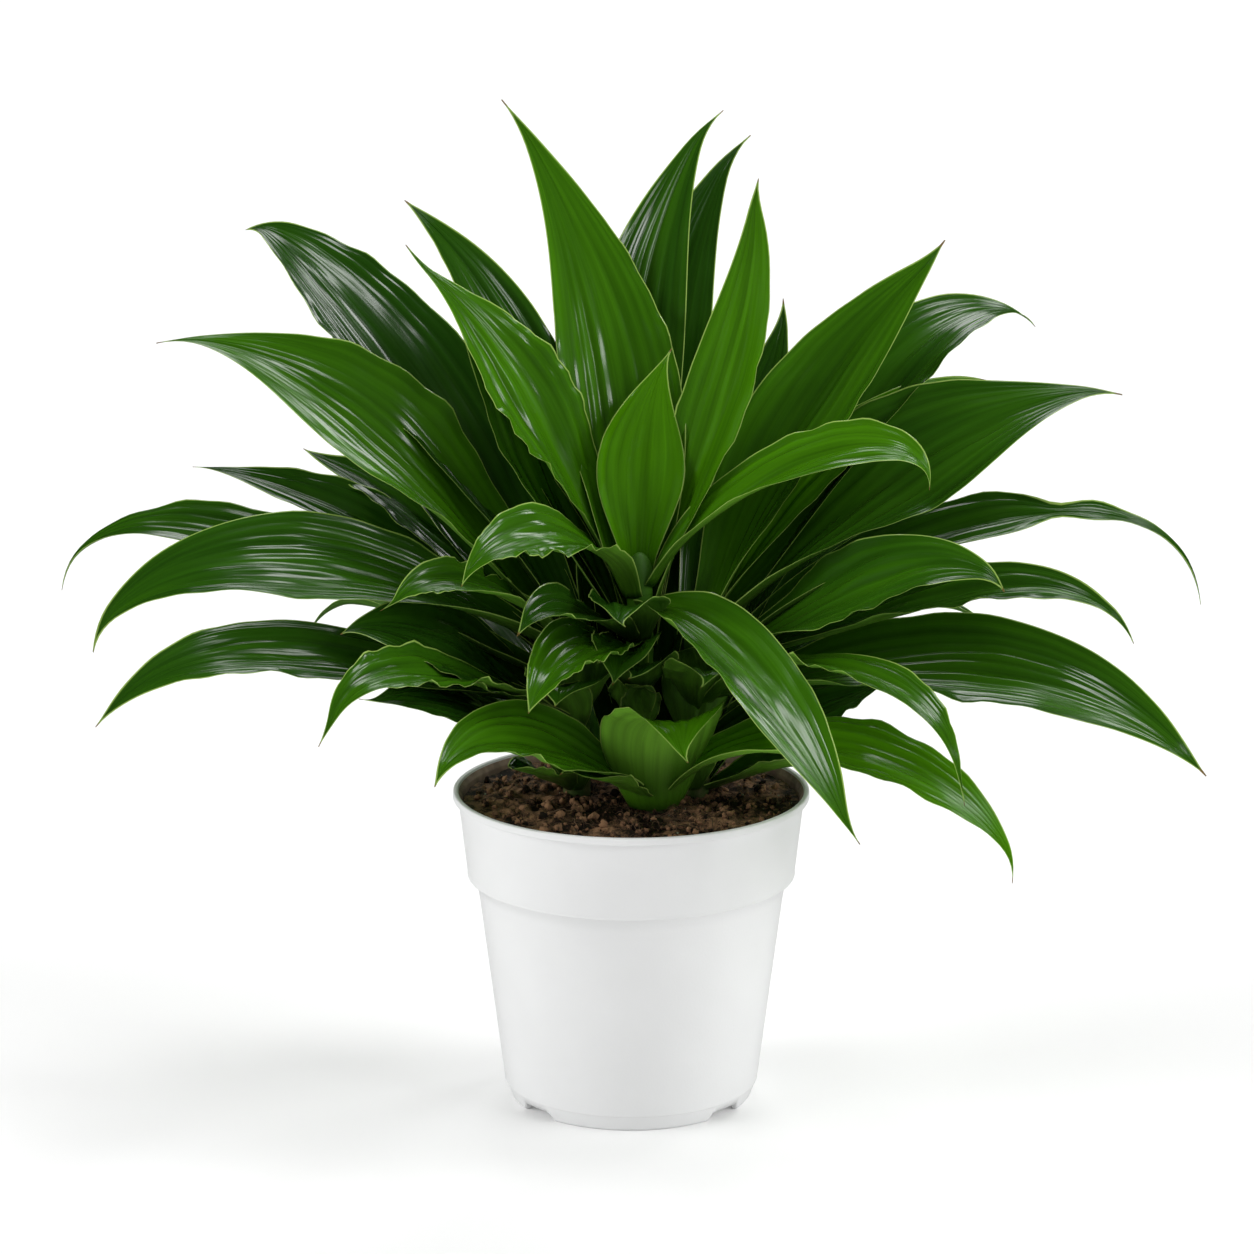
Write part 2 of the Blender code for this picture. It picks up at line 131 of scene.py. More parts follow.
# A node's output that can be used in sums: a + b, 1 - a, a * 0.5 and so on add Math nodes
class Signal:
    def __init__(self, finish, socket):
        self.finish, self.socket = finish, socket

    def combine(self, operation, first, second):
        return self.finish.node("ShaderNodeMath", {"operation": operation}, {0: first, 1: second})

    def __add__(self, other):
        return self.combine("ADD", self, other)

    __radd__ = __add__

    def __sub__(self, other):
        return self.combine("SUBTRACT", self, other)

    def __rsub__(self, other):
        return self.combine("SUBTRACT", other, self)

    def __mul__(self, other):
        return self.combine("MULTIPLY", self, other)

    __rmul__ = __mul__

    # 0 below low, 1 above high, smooth between; low above high turns it round
    def step(self, low, high):
        start, end, first, last = (low, high, 0.0, 1.0) if low < high else (high, low, 1.0, 0.0)
        values = {0: self, 1: start, 2: end, 3: first, 4: last}
        return self.finish.node("ShaderNodeMapRange", {"interpolation_type": "SMOOTHSTEP"}, values)


# A material: its Principled shader's constants by name, and the nodes that feed the rest
class Finish:
    def __init__(self, name, **constants):
        self.material = bpy.data.materials.new(name)
        self.material.use_nodes = True
        self.tree = self.material.node_tree
        self.shader = self.tree.nodes["Principled BSDF"]
        for key, value in constants.items():
            self.shader.inputs[key.replace("_", " ")].default_value = value

    # Adds a node: its type, its settings, its sockets' values or links, and which output to use
    def node(self, kind, settings=None, values=None, output=0):
        made = self.tree.nodes.new(kind)
        for key, value in (settings or {}).items():
            setattr(made, key, value)
        for key, value in (values or {}).items():
            self.put(made.inputs[key], value)
        return Signal(self, made.outputs[output])

    # Links a signal to a socket, or sets a plain value on it
    def put(self, socket, value):
        if isinstance(value, Signal):
            self.tree.links.new(value.socket, socket)
        else:
            socket.default_value = value

    def feed(self, name, value):
        self.put(self.shader.inputs[name], value)

    # A number kept at the piece's points
    def attribute(self, name):
        return self.node("ShaderNodeAttribute", {"attribute_name": name}, output=2)

    # Blends two colours, each a signal or three numbers
    def mix(self, factor, first, second):
        first = (*first, 1) if isinstance(first, tuple) else first
        second = (*second, 1) if isinstance(second, tuple) else second
        return self.node("ShaderNodeMix", {"data_type": "RGBA"}, {0: factor, 6: first, 7: second}, 2)

    # Brightens or darkens a colour by a number
    def scaled(self, colour, amount):
        values = {0: colour, 3: amount}
        return self.node("ShaderNodeVectorMath", {"operation": "SCALE"}, values)

    def vector(self, x, y, z):
        return self.node("ShaderNodeCombineXYZ", values={0: x, 1: y, 2: z})

    def split(self, vector):
        made = self.node("ShaderNodeSeparateXYZ", values={0: vector})
        outputs = made.socket.node.outputs
        return [Signal(self, outputs[i]) for i in range(3)]

    def uv(self):
        return self.split(self.node("ShaderNodeUVMap", {"uv_map": "UVMap"}))

    def place(self):
        return self.node("ShaderNodeTexCoord", output="Object")

    def noise(self, vector, scale, detail, roughness=0.5):
        values = {"Vector": vector, "Scale": scale, "Detail": detail, "Roughness": roughness}
        return self.node("ShaderNodeTexNoise", values=values)

    def bump(self, height, distance, strength):
        values = {"Height": height, "Distance": distance, "Strength": strength}
        self.feed("Normal", self.node("ShaderNodeBump", values=values))


# Camera, floor and lights, in metres
studio = {
    "camera": (-0.002, -2.0, 0.7267),
    "cameraTilt": 76.08,  # degrees from straight down
    "focalLength": 125.2,  # mm, like the sensor's width
    "sensorWidth": 36,
    "farthest": 60,
    "floorRadius": 14.0,
    "floorSides": 96,
    "floorColour": (0.92, 0.92, 0.92),
    "floorRoughness": 0.65,
    "floorGlow": 0.075,
    "worldStrength": 0.31,
    # towards the light (x, y, z), strength, its width in degrees, whether the leaves mirror it
    "lights": {
        "front": ((0.10, -0.80, 0.60), 0.04, 40, False),
        "frontRight": ((0.64, -0.53, 0.54), 0.30, 11, True),
        "overhead": ((0.25, 0.14, 0.94), 0.63, 18, True),
        "backRight": ((0.50, 0.56, 0.66), 0.38, 15, True),
        "backTop": ((0.02, 0.73, 0.66), 0.50, 24, True),
        "left": ((-1.0, -0.25, 0.40), 2.05, 44, False),
        "right": ((1.0, -0.20, 0.40), 1.74, 44, False),
    },
}


# The camera at the photograph's angle, a round pale floor and suns with soft edges
def makeStudio():
    scene = bpy.context.scene
    camera = bpy.data.objects.new("camera", bpy.data.cameras.new("camera"))
    camera.location = studio["camera"]
    camera.rotation_euler = (radians(studio["cameraTilt"]), 0, 0)
    camera.data.sensor_width = studio["sensorWidth"]
    camera.data.sensor_fit = "HORIZONTAL"
    camera.data.lens = studio["focalLength"]
    camera.data.clip_end = studio["farthest"]
    scene.collection.objects.link(camera)
    scene.camera = camera

    around = np.linspace(0, 2 * pi, studio["floorSides"] + 1)[:-1]
    rim = np.stack([np.cos(around), np.sin(around), 0 * around], axis=1) * studio["floorRadius"]
    paper = Finish("floorPaper", Roughness=studio["floorRoughness"], Emission_Strength=studio["floorGlow"])
    paper.feed("Base Color", (*studio["floorColour"], 1))
    paper.feed("Emission Color", (1.0, 1.0, 1.0, 1))
    disc = np.arange(studio["floorSides"])[None, :]
    floor = makePiece("floor", rim, [disc], paper.material, smooth=False)
    floor.visible_glossy = False  # the leaves mirror the lights alone

    for name, (towards, strength, width, shines) in studio["lights"].items():
        light = bpy.data.objects.new(name + "Light", bpy.data.lights.new(name + "Light", "SUN"))
        light.data.energy = strength
        light.data.angle = radians(width)
        light.rotation_euler = Vector(towards).to_track_quat("Z", "Y").to_euler()
        light.visible_glossy = shines
        scene.collection.objects.link(light)

    world = bpy.data.worlds.new("studio")
    world.use_nodes = True
    sky = world.node_tree.nodes["Background"]
    sky.inputs["Color"].default_value = (1, 1, 1, 1)
    sky.inputs["Strength"].default_value = studio["worldStrength"]
    world.cycles_visibility.glossy = False
    scene.world = world
    scene.view_settings.view_transform = "Standard"


makeStudio()
print("studio ready")


# The pot, in metres
pot = {
    "height": 0.152,
    "lipRadius": 0.085,
    "lipHeight": 0.0035,
    "mouthRadius": 0.0823,
    "bandTopRadius": 0.0824,
    "bandFootRadius": 0.0782,
    "bandFoot": 0.1105,
    "wallTopRadius": 0.0732,
    "wallTop": 0.104,
    "wallFootRadius": 0.061,
    "seam": 0.008,
    "footRadius": 0.0576,
    "footWidth": 0.0024,
    "wall": 0.0015,
    "base": 0.005,
    "baseThickness": 0.0016,
    "notchTurns": (-140, -40, 40, 140),
    "notchHeight": 0.0046,
    "notchWidth": 0.022,
    "notchTaper": 0.72,
    "drainRadius": 0.0035,
    "drainCircle": 0.034,
    "drains": 6,
    "drainSides": 32,
    "drainCut": 0.012,  # height of the cylinders that cut them
    "segments": 240,
    "cornerSteps": 4,
    "outlineStep": 0.006,  # the longest run of the outline without a point
    "white": (0.78, 0.785, 0.785),
    "inside": (0.34, 0.24, 0.18),
}


# Radius of the inner wall at height z: straight between its ends in the band and below it
def innerRadius(z):
    p = pot
    if z >= p["bandFoot"]:
        share = (z - p["bandFoot"]) / (p["height"] - p["bandFoot"])
        return p["bandFootRadius"] + (p["bandTopRadius"] - p["bandFootRadius"]) * share - p["wall"]
    share = (z - p["seam"]) / (p["wallTop"] - p["seam"])
    return p["wallFootRadius"] + (p["wallTopRadius"] - p["wallFootRadius"]) * share - p["wall"]


# Points along an outline of corners (r, z, radius): each corner becomes a quadratic Bezier curve
# that begins and ends its radius away from the corner, but never past the middle of a side
def roundedOutline(corners, steps):
    points = []
    for i, (r, z, radius) in enumerate(corners):
        here = np.array([r, z])
        if radius == 0 or i in (0, len(corners) - 1):
            points.append(here)
            continue
        before = np.array(corners[i - 1][:2]) - here
        after = np.array(corners[i + 1][:2]) - here
        start = here + before * min(0.45, radius / np.linalg.norm(before))
        end = here + after * min(0.45, radius / np.linalg.norm(after))
        for share in np.linspace(0, 1, steps + 1):
            points.append((1 - share) ** 2 * start + 2 * share * (1 - share) * here + share**2 * end)
    return np.array(points)


# Adds points on the long straight runs of an outline, none further apart than reach
def refined(outline, reach):
    result = [outline[0]]
    for point in outline[1:]:
        count = max(1, int(np.ceil(np.linalg.norm(point - result[-1]) / reach)))
        start = result[-1]
        result += [start + (point - start) * (k / count) for k in range(1, count + 1)]
    return np.array(result)


# The wall's section turned about Z: x = r cos a, y = r sin a. Over a notch the foot is lifted to
# the notch's height, with sloping ends.
def makePot():
    p = pot
    lipFoot = p["height"] - p["lipHeight"]
    mm = millimetre
    corners = [
        (0.0004, p["base"] + p["baseThickness"], 0),
        (innerRadius(p["seam"]) - 1.5 * mm, p["base"] + p["baseThickness"], 1 * mm),
        (innerRadius(p["seam"]), p["seam"], 1 * mm),
        (innerRadius(p["wallTop"]), p["wallTop"], 1 * mm),
        (innerRadius(p["bandFoot"]), p["bandFoot"], 1 * mm),
        (innerRadius(lipFoot), lipFoot, 0.5 * mm),
        (p["mouthRadius"], p["height"] - 1.0 * mm, 0.4 * mm),
        (p["mouthRadius"] + 0.25 * mm, p["height"], 0.5 * mm),
        (p["lipRadius"] - 0.1 * mm, p["height"], 0.9 * mm),
        (p["lipRadius"], lipFoot, 0.7 * mm),
        (p["bandTopRadius"] + 0.05 * mm, lipFoot + 0.05 * mm, 0.35 * mm),
        (p["bandFootRadius"] + 0.05 * mm, p["bandFoot"] + 1.2 * mm, 0.4 * mm),
        (p["bandFootRadius"] + 0.25 * mm, p["bandFoot"] + 0.6 * mm, 0.3 * mm),
        (p["bandFootRadius"] + 0.05 * mm, p["bandFoot"], 0.2 * mm),
        (p["bandFootRadius"] - 1.3 * mm, p["bandFoot"] - 0.4 * mm, 0.5 * mm),
        (p["wallTopRadius"] + 0.5 * mm, p["wallTop"] + 1.2 * mm, 2.2 * mm),
        (p["wallTopRadius"] - 0.64 * mm, p["wallTop"] - 5 * mm, 2 * mm),
        (p["wallFootRadius"], p["seam"], 0.25 * mm),
        (p["wallFootRadius"] - 0.45 * mm, p["seam"] - 0.35 * mm, 0.2 * mm),
        (p["footRadius"] + 0.5 * mm, 1.0 * mm, 0.5 * mm),
        (p["footRadius"] - 0.5 * mm, 0.0, 0.3 * mm),
        (p["footRadius"] - p["footWidth"], 0.0, 0.3 * mm),
        (p["footRadius"] - p["footWidth"], p["base"], 0.3 * mm),
        (0.0004, p["base"], 0),
    ]
    section = refined(roundedOutline(corners, p["cornerSteps"]), p["outlineStep"])

    # angles with lines exactly at the ends of every notch
    edges = []
    for turn in p["notchTurns"]:
        half = p["notchWidth"] / 2 / p["footRadius"]
        for share in (1, (1 + p["notchTaper"]) / 2, p["notchTaper"]):
            edges += [radians(turn) - half * share, radians(turn) + half * share]
    angles = np.sort(np.concatenate([np.linspace(-pi, pi, p["segments"] + 1)[:-1], edges]))

    lift = np.zeros_like(angles)
    for turn in p["notchTurns"]:
        away = np.abs((angles - radians(turn) + pi) % (2 * pi) - pi) * p["footRadius"]
        half = p["notchWidth"] / 2
        slope = (half - away) / (half * (1 - p["notchTaper"]))
        lift = np.maximum(lift, np.clip(slope, 0, 1) * p["notchHeight"])
    radius, height = section[:, :1], section[:, 1:]
    x = radius * np.cos(angles)[None, :]
    y = radius * np.sin(angles)[None, :]
    footZone = radius > p["footRadius"] - 2 * p["footWidth"]
    z = np.where(footZone, np.maximum(height, lift[None, :]), height) + 0 * x
    points = np.stack([x, y, z], axis=-1).reshape(-1, 3)

    # 1 on the inner wall below the lip, 0 elsewhere
    row = np.arange(len(section))
    top = int(np.argmax(section[:, 1]))
    inner = ((row < top) & (section[:, 1] < p["height"] - 1.1 * mm)).astype(float)
    inner = np.repeat(inner, len(angles))

    rows, columns = len(section), len(angles)
    faces = gridFaces(rows, columns, closed=True)
    firstRing = np.arange(columns)[None, :]
    lastRing = (rows - 1) * columns + np.arange(columns)[::-1][None, :]
    uv = np.stack([np.tile(angles / (2 * pi) + 0.5, rows), points[:, 2] * 6], axis=1)
    plastic = potPlastic()
    piece = makePiece("potWall", points, [faces, firstRing, lastRing], plastic, {"inner": inner}, uv)
    cutDrains(piece)
    place(piece, "pot", "pot")


# Drain holes: six upright cylinders taken out of the base
def cutDrains(piece):
    cutters = bpy.data.collections.new("drains")
    around = np.linspace(0, 2 * pi, pot["drainSides"] + 1)[:-1]
    for k in range(pot["drains"]):
        turn = 2 * pi * (k + 0.5) / pot["drains"]
        centre = np.array([pot["drainCircle"] * cos(turn), pot["drainCircle"] * sin(turn), 0])
        ring = np.stack([np.cos(around), np.sin(around), 0 * around], axis=1) * pot["drainRadius"]
        low, high = centre + ring, centre + ring + np.array([0, 0, pot["drainCut"]])
        count = len(around)
        sides = gridFaces(2, count, closed=True)[:, ::-1]
        caps = np.stack([np.arange(count)[::-1], count + np.arange(count)])
        cutter = makePiece("drain", np.concatenate([low, high]), [sides, caps], None, smooth=False)
        bpy.context.scene.collection.objects.unlink(cutter)
        cutters.objects.link(cutter)
    holes = piece.modifiers.new("holes", "BOOLEAN")
    holes.operand_type = "COLLECTION"
    holes.collection = cutters
    holes.operation = "DIFFERENCE"
    holes.solver = "EXACT"
    bpy.context.view_layer.update()
    evaluated = piece.evaluated_get(bpy.context.evaluated_depsgraph_get())
    finished = bpy.data.meshes.new_from_object(evaluated)
    piece.modifiers.clear()
    piece.data = finished
    finished.name = piece.name
    for cutter in list(cutters.objects):
        bpy.data.objects.remove(cutter, do_unlink=True)
    bpy.data.collections.remove(cutters)


# White moulded plastic: faint cloudy changes of shade and gloss, fine grain, brown inside
def potPlastic():
    finish = Finish("whitePlastic", Metallic=0.0)
    where = finish.place()
    inner = finish.attribute("inner")
    cloud = finish.noise(where, 18, 3)
    grain = finish.noise(where, 900, 2)
    white = finish.mix(cloud.step(0.3, 0.7), pot["white"], tuple(0.965 * c for c in pot["white"]))
    dust = finish.noise(where, 160, 4)
    brown = finish.mix(dust.step(0.35, 0.65), pot["inside"], tuple(0.6 * c for c in pot["inside"]))
    finish.feed("Base Color", finish.mix(inner.step(0.4, 0.6), white, brown))
    finish.feed("Roughness", 0.44 + cloud * 0.10 + inner * 0.3)
    finish.bump(grain, 0.00006, 0.6)
    return finish.material


makePot()
print("pot ready")


# The soil, in metres
soil = {
    "level": 0.146,
    "lump": 0.002,
    "radialSteps": 92,
    "aroundSteps": 200,
    "clods": (0.0075, 0.0015),  # cell of the noise and its height, coarse to fine
    "lumps": (0.0034, 0.0010),
    "grains": (0.0015, 0.0004),
    "crumbs": 950,
    "crumbSize": (0.0009, 0.0042),
    "crumbSunk": 0.25,
    "specks": 130,
    "speckSize": (0.0004, 0.0013),
    "speckSunk": 0.1,
    "fibres": 230,
    "fibrePoints": 12,
    "fibreLength": (0.004, 0.019),
    "fibreRadius": (0.00009, 0.00026),
    "fibreArch": (-0.0002, 0.0016),
    # near-black: the peat's own dark colour and painted shade in its hollows
    "dark": (0.010, 0.006, 0.004),
    "brown": (0.29, 0.160, 0.085),
    "fibre": (0.16, 0.10, 0.06),
    "speck": (0.32, 0.36, 0.24),
    "seed": 11,
}


# Height of the soil at (x, y): the solid's three crossed waves, and three sizes of clod on them
def soilHeight(x, y):
    wave = np.sin(x / 0.0113 + 1.3) * np.cos(y / 0.0097 - 0.4)
    wave = wave + 0.6 * np.sin((x + y) / 0.0061 + 0.8)
    wave = wave + 0.5 * np.cos((x - 0.6 * y) / 0.0049)
    fade = np.clip((0.076 - np.hypot(x, y)) / 0.02, 0, 1)
    height = soil["lump"] * fade * (0.5 * wave + 0.25)
    (clodCell, clodHeight), (lumpCell, lumpHeight) = soil["clods"], soil["lumps"]
    grainCell, grainHeight = soil["grains"]
    clods = 1 - 2 * np.abs(latticeNoise(x, y, clodCell, 3))
    lumps = 1 - 2 * np.abs(latticeNoise(x + 0.3, y, lumpCell, 4))
    grains = latticeNoise(x, y + 0.2, grainCell, 5)
    edge = 0.4 + 0.6 * fade
    relief = clodHeight * clods + lumpHeight * lumps + grainHeight * grains
    return soil["level"] + height + edge * relief


# Crumbly peat: near-black in the hollows of its height noise, partly painted shade and partly the peat's
# own dark, and brown crumbs by each crumb's own tone
def soilPeat():
    finish = Finish("peat", Metallic=0.0, Roughness=0.95)
    where = finish.place()
    tone = finish.attribute("tone")
    coarse = finish.noise(where, 210, 4, 0.65)
    fine = finish.noise(where, 1400, 3, 0.6)
    # painted shade: the same noise lifts the bump, so its low hollows turn near-black, mixed with the
    # peat's own mottle
    share = (coarse * 0.85 + fine * 0.4 + tone * 0.4).step(0.66, 0.98)
    finish.feed("Base Color", finish.mix(share, soil["dark"], soil["brown"]))
    finish.bump(coarse * 0.5 + fine * 0.5, 0.0007, 0.9)
    return finish.material


# A closed body: the lumpy top on a polar grid, then the wall's line down to the pot's base
def makeSoil(peat):
    gap = 0.3 * millimetre
    rimRadius = innerRadius(soil["level"]) - gap
    rings = np.linspace(0, 1, soil["radialSteps"] + 1)[1:] ** 0.85 * rimRadius
    around = np.linspace(0, 2 * pi, soil["aroundSteps"] + 1)[:-1]
    x = rings[:, None] * np.cos(around)
    y = rings[:, None] * np.sin(around)
    top = np.stack([x, y, soilHeight(x, y)], axis=-1)
    floorZ = pot["base"] + pot["baseThickness"] + gap
    lower = np.array([
        (innerRadius(pot["bandFoot"]) - gap, pot["bandFoot"]),
        (innerRadius(pot["wallTop"]) - gap, pot["wallTop"]),
        (innerRadius(pot["seam"]) - gap, pot["seam"] + gap),
        (innerRadius(pot["seam"]) - 1.5 * millimetre - gap, floorZ),
    ])
    lowerX = lower[:, :1] * np.cos(around)
    lowerY = lower[:, :1] * np.sin(around)
    sides = np.stack([lowerX, lowerY, lower[:, 1:] + 0 * lowerX], axis=-1)
    grid = np.concatenate([top, sides])
    rows, columns = grid.shape[:2]
    middle = soilHeight(np.zeros(1), np.zeros(1))[0]
    points = np.concatenate([grid.reshape(-1, 3), [[0, 0, middle]]])
    faces = gridFaces(rows, columns, closed=True)
    first = np.arange(columns)
    hub = np.full(columns, rows * columns)
    centre = np.stack([hub, first, np.roll(first, -1)], axis=1)
    bottom = ((rows - 1) * columns + first)[::-1][None, :]
    tone = 0.35 + 0.35 * latticeNoise(points[:, 0], points[:, 1], 0.011, 8)
    piece = makePiece("soilBed", points, [faces, centre, bottom], peat, {"tone": tone})
    place(piece, "soil", "soil")


# A ball of few faces: an icosahedron, each face cut in four, pushed out to radius 1
def smallBall(cuts):
    golden = (1 + 5**0.5) / 2
    corners = []
    for a in (-1, 1):
        for b in (-golden, golden):
            corners += [(0, a, b), (a, b, 0), (b, 0, a)]
    points = unit(np.array(corners, dtype=float))
    apart = np.linalg.norm(points[:, None] - points[None], axis=-1)
    side = np.min(apart[apart > 0.1]) * 1.1
    faces = []
    for i in range(12):
        for j in range(i + 1, 12):
            for k in range(j + 1, 12):
                if max(apart[i, j], apart[j, k], apart[i, k]) < side:
                    turned = np.dot(np.cross(points[j] - points[i], points[k] - points[i]), points[i])
                    faces.append((i, j, k) if turned > 0 else (i, k, j))
    for _ in range(cuts):
        points, faces = list(points), list(faces)
        middles, cut = {}, []
        for face in faces:
            mids = []
            for a, b in ((0, 1), (1, 2), (2, 0)):
                key = tuple(sorted((face[a], face[b])))
                if key not in middles:
                    middles[key] = len(points)
                    points.append((points[key[0]] + points[key[1]]) / 2)
                mids.append(middles[key])
            cut += [(face[0], mids[0], mids[2]), (face[1], mids[1], mids[0])]
            cut += [(face[2], mids[2], mids[1]), tuple(mids)]
        points, faces = unit(np.array(points)), cut
    return np.array(points), np.array(faces)


# Random turns: unit quaternions drawn evenly, as rotation matrices
def randomTurns(random, count):
    w, x, y, z = unit(random.normal(size=(count, 4))).T
    rows = [1 - 2 * (y * y + z * z), 2 * (x * y - z * w), 2 * (x * z + y * w)]
    rows += [2 * (x * y + z * w), 1 - 2 * (x * x + z * z), 2 * (y * z - x * w)]
    rows += [2 * (x * z - y * w), 2 * (y * z + x * w), 1 - 2 * (x * x + y * y)]
    return np.stack(rows, axis=-1).reshape(count, 3, 3)


# Places on the soil, spread evenly over its disc
def soilPlaces(random, count, margin):
    radius = np.sqrt(random.uniform(0, 1, count)) * (innerRadius(soil["level"]) - margin)
    turn = random.uniform(0, 2 * pi, count)
    return radius * np.cos(turn), radius * np.sin(turn)


# Crumbs: the small ball, squashed, dented and turned at random, and sunk a little where it lies
def makeCrumbs(name, count, sizes, cuts, finish, seed, sunk):
    random = np.random.default_rng(seed)
    ball, faces = smallBall(cuts)
    x, y = soilPlaces(random, count, sizes[1])
    size = sizes[0] + (sizes[1] - sizes[0]) * random.uniform(0, 1, count) ** 2.2
    stretch = random.uniform(0.6, 1.25, (count, 1, 3))
    dents = 1 + 0.22 * random.normal(size=(count, len(ball), 1)).clip(-1.5, 1.5)
    shapes = np.einsum("nij,nkj->nki", randomTurns(random, count), ball[None] * stretch * dents)
    centre = np.stack([x, y, soilHeight(x, y) + size * (0.5 - sunk)], axis=1)
    points = (centre[:, None] + shapes * size[:, None, None] / 2).reshape(-1, 3)
    everyFace = (faces[None] + np.arange(count)[:, None, None] * len(ball)).reshape(-1, 3)
    tone = np.repeat(random.uniform(0, 1, count), len(ball))
    piece = makePiece(name, points, [everyFace], finish, {"tone": tone})
    place(piece, "soil")


# Fibres: thin four-sided tubes along gentle arcs that lie on the soil and dip into it
def makeFibres(finish):
    random = np.random.default_rng(soil["seed"] + 5)
    count, along, sides = soil["fibres"], soil["fibrePoints"], 4
    x, y = soilPlaces(random, count, 0.012)
    turn = random.uniform(0, 2 * pi, (count, 1))
    length = random.uniform(*soil["fibreLength"], (count, 1))
    bend = random.normal(0, 0.9, (count, 1))
    share = np.linspace(-0.5, 0.5, along)[None, :]
    direction = turn + bend * share + 0.35 * np.sin(9 * share + 6 * turn)
    step = length / (along - 1)
    px = x[:, None] + np.cumsum(np.cos(direction) * step, axis=1)
    py = y[:, None] + np.cumsum(np.sin(direction) * step, axis=1)
    most = innerRadius(soil["level"]) - 1.5 * millimetre
    shrink = np.minimum(1, most / np.hypot(px, py))
    px, py = px * shrink, py * shrink
    arch = random.uniform(*soil["fibreArch"], (count, 1))
    pz = soilHeight(px, py) + 0.0003 + arch * (1 - 4 * share**2) - 0.0009 * (2 * np.abs(share)) ** 6
    path = np.stack([px, py, pz], axis=-1)
    tangent = unit(np.gradient(path, axis=1))
    level = unit(np.stack([-tangent[..., 1], tangent[..., 0], 0 * pz], axis=-1))
    normal = np.cross(tangent, level)
    thick = random.uniform(*soil["fibreRadius"], (count, 1)) * (1 - 0.75 * np.abs(2 * share) ** 4)
    corner = np.linspace(0, 2 * pi, sides + 1)[:-1]
    ring = level[:, :, None] * np.cos(corner)[:, None]
    ring = ring + normal[:, :, None] * np.sin(corner)[:, None]
    points = (path[:, :, None] + ring * thick[:, :, None, None]).reshape(-1, 3)
    one = gridFaces(along, sides, closed=True)[:, ::-1]
    size = along * sides
    caps = np.stack([np.arange(sides), size - 1 - np.arange(sides)])
    faces = np.concatenate([one, caps])
    everyFace = (faces[None] + np.arange(count)[:, None, None] * size).reshape(-1, 4)
    tone = np.repeat(random.uniform(0, 1, count), size)
    piece = makePiece("soilFibres", points, [everyFace], finish, {"tone": tone})
    place(piece, "soil")


# A dull finish whose colour runs from dark to full by each bit's own tone and a fine mottle
def plainSpeck(name, colour, roughness):
    finish = Finish(name, Metallic=0.0, Roughness=roughness)
    tone = finish.attribute("tone")
    mottle = finish.noise(finish.place(), 900, 2)
    share = (tone * 0.7 + mottle * 0.4).step(0.1, 1.0)
    finish.feed("Base Color", finish.mix(share, tuple(0.35 * c for c in colour), colour))
    return finish.material


peat = soilPeat()
makeSoil(peat)
makeCrumbs("soilCrumbs", soil["crumbs"], soil["crumbSize"], 1, peat, soil["seed"], soil["crumbSunk"])
grit = plainSpeck("paleGrit", soil["speck"], 0.8)
makeCrumbs("soilSpecks", soil["specks"], soil["speckSize"], 0, grit, soil["seed"] + 1, soil["speckSunk"])
makeFibres(plainSpeck("rootFibre", soil["fibre"], 0.85))
print("soil ready")


# Where each stem stands (x, y), its top and its radius, in mm
stems = {
    "shoot_centre": (4, 14, 252, 8.0),
    "shoot_left": (-26, 10, 230, 7.5),
    "shoot_right": (31, 10, 232, 7.5),
    "shoot_front": (12, -18, 152, 7.5),
}

